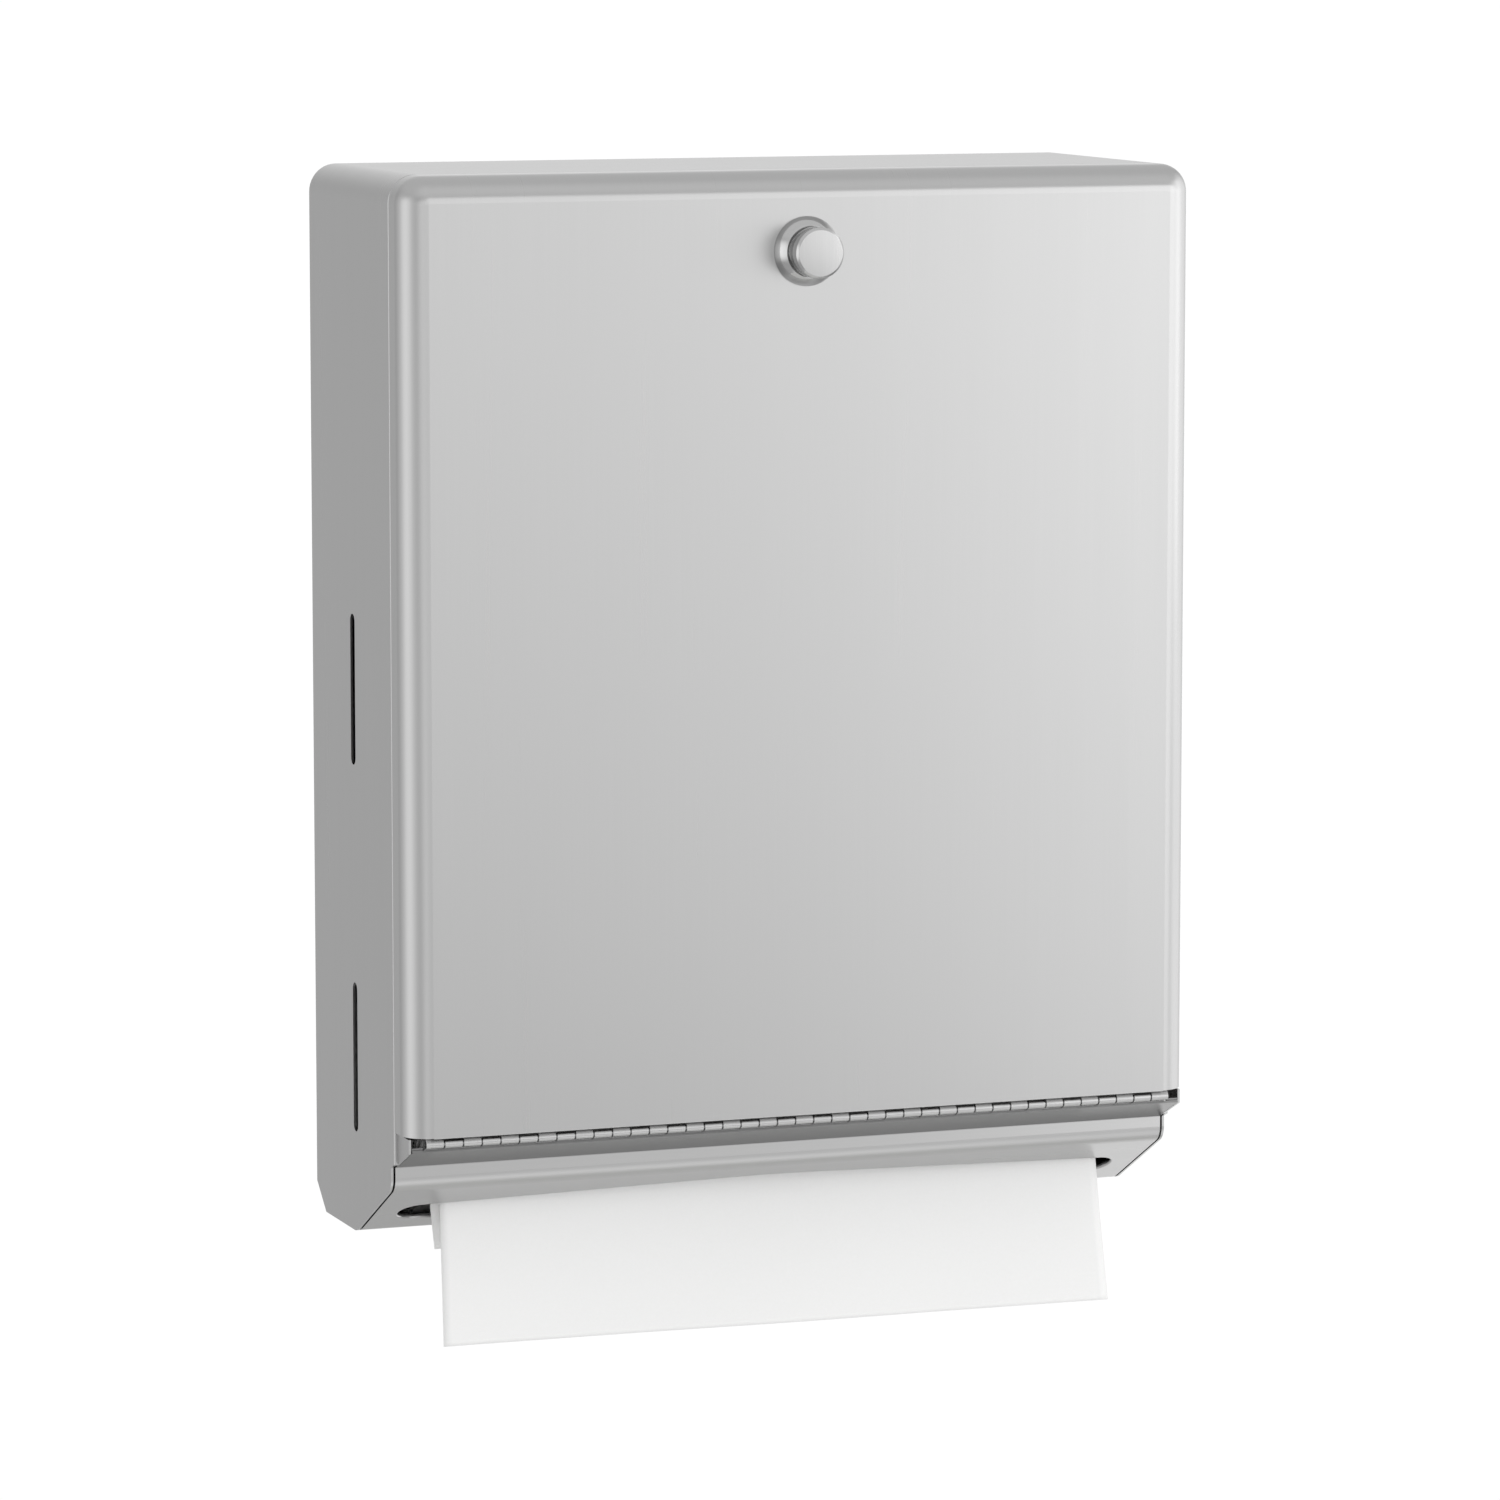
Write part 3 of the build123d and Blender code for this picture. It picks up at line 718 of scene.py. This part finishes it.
def foldedTowel():
    # one towel in three panels, folded like a Z
    gap, thick = pile["panelGap"], pile["sheet"]
    back, front = pile["back"], pile["front"]
    lowSetback, highSetback = pile["lowSetback"], pile["highSetback"]
    levels = [thick * pile["footRoom"] + gap * k for k in range(3)]
    turnSteps, panelSteps = 6, 10
    along = [k / panelSteps for k in range(panelSteps + 1)]
    line = [Vector((back + lowSetback + (front - back - lowSetback) * t, levels[0])) for t in along]
    for k in range(1, turnSteps):
        a = -math.pi / 2 + math.pi * k / turnSteps
        line.append(Vector((front + gap / 2 * math.cos(a), (levels[0] + levels[1]) / 2 + gap / 2 * math.sin(a))))
    line += [Vector((front + (back - front) * t, levels[1])) for t in along]
    for k in range(1, turnSteps):
        a = -math.pi / 2 - math.pi * k / turnSteps
        line.append(Vector((back + gap / 2 * math.cos(a), (levels[1] + levels[2]) / 2 + gap / 2 * math.sin(a))))
    line += [Vector((back + (front - highSetback - back) * t, levels[2])) for t in along]
    sides = sheetSides(line, thick)
    builder = bmesh.new()
    stations, rows = 10, []
    for k in range(stations + 1):
        x = (k / stations - 0.5) * towel["width"] + towel["middle"]
        rows.append([[builder.verts.new(Vector((x, -p.x, p.y)) * mm) for p in pair] for pair in sides])
    for low, high in zip(rows, rows[1:]):
        for a, b, c, d in zip(low, low[1:], high, high[1:]):
            builder.faces.new((a[0], b[0], d[0], c[0]))
            builder.faces.new((a[1], b[1], d[1], c[1]))
        for i in (0, -1):
            builder.faces.new((low[i][0], low[i][1], high[i][1], high[i][0]))
    for row in (rows[0], rows[-1]):
        for a, b in zip(row, row[1:]):
            builder.faces.new((a[0], b[0], b[1], a[1]))
    bmesh.ops.recalc_face_normals(builder, faces=builder.faces)
    return makePiece("foldedTowel", builder, paper, 50)


def pileTree():
    tree = bpy.data.node_groups.new("settledPile", "GeometryNodeTree")
    sockets = {}
    for name, kind in (("Geometry", "Geometry"), ("Towel", "Object"), ("Towels", "Int"), ("Foot", "Float"),
                       ("Top", "Float"), ("Jitter", "Vector"), ("Turn", "Float"), ("Seed", "Int"),
                       ("Finish", "Material")):
        sockets[name] = tree.interface.new_socket(name, in_out="INPUT", socket_type=f"NodeSocket{kind}").identifier
    tree.interface.new_socket("Geometry", in_out="OUTPUT", socket_type="NodeSocketGeometry")
    inputs = addNode(tree, "NodeGroupInput").outputs

    height = addNode(tree, "ShaderNodeMath", {0: inputs["Top"], 1: inputs["Foot"]}, operation="SUBTRACT")
    pitch = addNode(tree, "ShaderNodeMath", {0: height.outputs[0], 1: inputs["Towels"]}, operation="DIVIDE")
    step = addNode(tree, "ShaderNodeCombineXYZ", {"Z": pitch.outputs[0]})
    foot = addNode(tree, "ShaderNodeCombineXYZ", {"Z": inputs["Foot"]})
    line = addNode(tree, "GeometryNodeMeshLine",
                   {"Count": inputs["Towels"], "Start Location": foot.outputs[0], "Offset": step.outputs[0]})
    folded = addNode(tree, "GeometryNodeObjectInfo", {"Object": inputs["Towel"]})
    backTurn = addNode(tree, "ShaderNodeMath", {0: inputs["Turn"]}, {1: -1.0}, operation="MULTIPLY")
    turn = addNode(tree, "FunctionNodeRandomValue",
                   {2: backTurn.outputs[0], 3: inputs["Turn"], "Seed": inputs["Seed"]})
    spin = addNode(tree, "ShaderNodeCombineXYZ", {"Z": turn.outputs[1]})
    layers = addNode(tree, "GeometryNodeInstanceOnPoints",
                     {"Points": line.outputs[0], "Instance": folded.outputs["Geometry"], "Rotation": spin.outputs[0]})
    away = addNode(tree, "ShaderNodeVectorMath", {0: inputs["Jitter"]}, {"Scale": -1.0}, operation="SCALE")
    stray = addNode(tree, "FunctionNodeRandomValue",
                    {0: away.outputs[0], 1: inputs["Jitter"], "Seed": inputs["Seed"]}, data_type="FLOAT_VECTOR")
    moved = addNode(tree, "GeometryNodeTranslateInstances",
                    {"Instances": layers.outputs[0], "Translation": stray.outputs[0]})
    real = addNode(tree, "GeometryNodeRealizeInstances", {"Geometry": moved.outputs[0]})
    here = addNode(tree, "GeometryNodeInputPosition").outputs[0]
    parts = addNode(tree, "ShaderNodeSeparateXYZ", {0: here}).outputs
    reach = addNode(tree, "ShaderNodeMapRange", {"Value": parts["Y"]},
                    {"From Min": 0.0, "From Max": -pile["rest"][-1][0] * mm, "To Min": 0.0, "To Max": 1.0})
    rest = addNode(tree, "ShaderNodeFloatCurve", {"Value": reach.outputs[0]})
    curve = rest.mapping.curves[0]
    far, high = pile["rest"][-1]
    for i, (depth, level) in enumerate(pile["rest"]):
        if i < 2:
            curve.points[i].location = (depth / far, level / high)
        else:
            curve.points.new(depth / far, level / high)
    rest.mapping.update()
    restLevel = addNode(tree, "ShaderNodeMath", {0: rest.outputs[0], 2: inputs["Foot"]}, {1: high * mm},
                        operation="MULTIPLY_ADD")
    level = addNode(tree, "ShaderNodeMapRange",
                    {"Value": parts["Z"], "From Min": inputs["Foot"], "From Max": inputs["Top"],
                     "To Min": restLevel.outputs[0], "To Max": inputs["Top"]}, clamp=False)
    settled = addNode(tree, "ShaderNodeCombineXYZ",
                      {"X": parts["X"], "Y": parts["Y"], "Z": level.outputs[0]})
    pressed = addNode(tree, "GeometryNodeSetPosition",
                      {"Geometry": real.outputs[0], "Position": settled.outputs[0]})
    finished = addNode(tree, "GeometryNodeSetMaterial",
                       {"Geometry": pressed.outputs[0], "Material": inputs["Finish"]})
    addNode(tree, "NodeGroupOutput", {"Geometry": finished.outputs[0]})
    return tree, sockets


def towelPile():
    piece = makePiece("towelStack", bmesh.new(), paper)
    folded = foldedTowel()
    tree, sockets = pileTree()
    pileNodes = piece.modifiers.new("pile", "NODES")
    pileNodes.node_group = tree
    foot = trayFoot * mm
    for name, value in (("Towel", folded), ("Towels", pile["towels"]), ("Foot", foot),
                        ("Top", foot + pile["top"] * mm), ("Jitter", [v * mm for v in pile["jitter"]]),
                        ("Turn", math.radians(pile["turn"])), ("Seed", pile["seed"]), ("Finish", paper)):
        pileNodes[sockets[name]] = value
    bakeModifiers(piece)
    bpy.data.objects.remove(folded)
    dress(piece, "cabinet", "white_paper", "towel_stack")


hangingTowel()
towelPile()
print("towels folded")


# Stage: camera at the photograph's angle, soft studio light and a pale floor

cameraSetup = {"place": (-788.4, -2197.1, 264.0), "yaw": 20.167, "pitch": 7.333, "lens": 164.83, "sensor": 36.0}
camera = bpy.data.objects.new("camera", bpy.data.cameras.new("camera"))
bpy.context.scene.collection.objects.link(camera)
camera.location = Vector(cameraSetup["place"]) * mm
camera.rotation_euler = (math.radians(90 - cameraSetup["pitch"]), 0, -math.radians(cameraSetup["yaw"]))
camera.data.sensor_width = cameraSetup["sensor"]
camera.data.lens = cameraSetup["lens"]
camera.data.clip_end = 100.0
bpy.context.scene.camera = camera
bpy.context.scene.view_settings.view_transform = "Standard"


def towards(azimuth, elevation):
    # azimuth 0 is straight out from the door and 90 to its right
    a, e = math.radians(azimuth), math.radians(elevation)
    return (math.sin(a) * math.cos(e), -math.cos(a) * math.cos(e), math.sin(e))


studio = {
    "fill": 0.55,
    # soft panels round the object: azimuth, elevation, half angle of the whole panel and of its even middle,
    # strength, and the elevation where the panel's upper edge cuts it off
    "panels": {
        "backdrop": (160, -4, 42, 14, 0.47, 90),
        "ceiling": (0, 90, 80, 45, 0.27, 90),
        "ceilingFront": (10, 45, 40, 12, 0.15, 90),
        "leftWindow": (-84, 0, 32, 10, 0.55, 90),
        "leftBack": (-110, 0, 36, 10, 0.28, 90),
        "leftFront": (-64, 0, 36, 12, 0.28, 90),
        "cameraSide": (-11, 0, 24, 7, 0.64, 90),
        "frontCard": (28, 9, 26.2, 8, 0.92, 21),
        "frontLow": (48, -4, 34, 10, 0.25, 5),
        "rightWall": (90, 0, 45, 15, 0.95, 90),
        "floorBounce": (10, -62, 40, 12, 0.6, 90),
        "floorFront": (18, -36, 25, 10, 0.27, 90),
    },
    "edgeSoftness": 2,
    # place and size in metres, and watts; wallBounce lights the right end of the tray's underside
    "lamps": {
        "softboxFront": ((0.55, -0.75, 0.05), (0.35, 0.8), 0.5),
        "softboxSide": ((0.95, -0.55, 0.30), (0.6, 0.8), 0.9),
        "wallBounce": ((0.36, 0.22, -0.52), (0.3, 0.3), 0.16),
    },
    "aim": (0, -0.05, 0),
    "floorHeight": -1.35,
    "floorRadius": 0.8,
    "floorColour": "#F0F0EE",
    "floorRoughness": 0.8,
}


def lightStudio():
    world = bpy.data.worlds.new("studio")
    bpy.context.scene.world = world
    world.use_nodes = True
    tree = world.node_tree
    tree.nodes.clear()
    looking = addNode(tree, "ShaderNodeTexCoord").outputs["Generated"]
    total = None
    up = addNode(tree, "ShaderNodeSeparateXYZ", {0: looking}).outputs["Z"]
    for azimuth, elevation, whole, middle, strength, edge in studio["panels"].values():
        near = addNode(tree, "ShaderNodeVectorMath", {0: looking}, {1: towards(azimuth, elevation)},
                       operation="DOT_PRODUCT")
        panel = addNode(tree, "ShaderNodeMapRange", {"Value": near.outputs["Value"]},
                        {"From Min": math.cos(math.radians(whole)), "From Max": math.cos(math.radians(middle)),
                         "To Min": 0.0, "To Max": strength}, interpolation_type="SMOOTHSTEP")
        if edge < 90:
            dark, lit = [math.sin(math.radians(edge + k * studio["edgeSoftness"])) for k in (1, -1)]
            below = addNode(tree, "ShaderNodeMapRange", {"Value": up},
                            {"From Min": dark, "From Max": lit, "To Min": 0.0, "To Max": 1.0},
                            interpolation_type="SMOOTHSTEP")
            panel = addNode(tree, "ShaderNodeMath", {0: panel.outputs[0], 1: below.outputs[0]},
                            operation="MULTIPLY")
        total = addNode(tree, "ShaderNodeMath", {0: panel.outputs[0], **({1: total.outputs[0]} if total else {})},
                        None if total else {1: studio["fill"]}, operation="ADD")
    sky = addNode(tree, "ShaderNodeBackground", {"Strength": total.outputs[0]})
    sky.inputs["Color"].default_value = (1, 1, 1, 1)
    addNode(tree, "ShaderNodeOutputWorld", {"Surface": sky.outputs[0]})
    for name, (place, size, watts) in studio["lamps"].items():
        lamp = bpy.data.lights.new(name, "AREA")
        lamp.shape = "RECTANGLE"
        lamp.size, lamp.size_y = size
        lamp.energy = watts
        softbox = bpy.data.objects.new(name, lamp)
        bpy.context.scene.collection.objects.link(softbox)
        softbox.location = place
        softbox.rotation_euler = (Vector(studio["aim"]) - softbox.location).to_track_quat("-Z", "Y").to_euler()
        softbox.visible_camera = False


def layFloor():
    builder = bmesh.new()
    bmesh.ops.create_circle(builder, cap_ends=True, segments=96, radius=studio["floorRadius"])
    bmesh.ops.translate(builder, verts=builder.verts, vec=(0, 0, studio["floorHeight"]))
    floorPaint, _, shader, _ = startMaterial("paleFloorPaint")
    shader.inputs["Base Color"].default_value = linear(studio["floorColour"])
    shader.inputs["Roughness"].default_value = studio["floorRoughness"]
    makePiece("floor", builder, floorPaint)


lightStudio()
layFloor()
print("stage set")
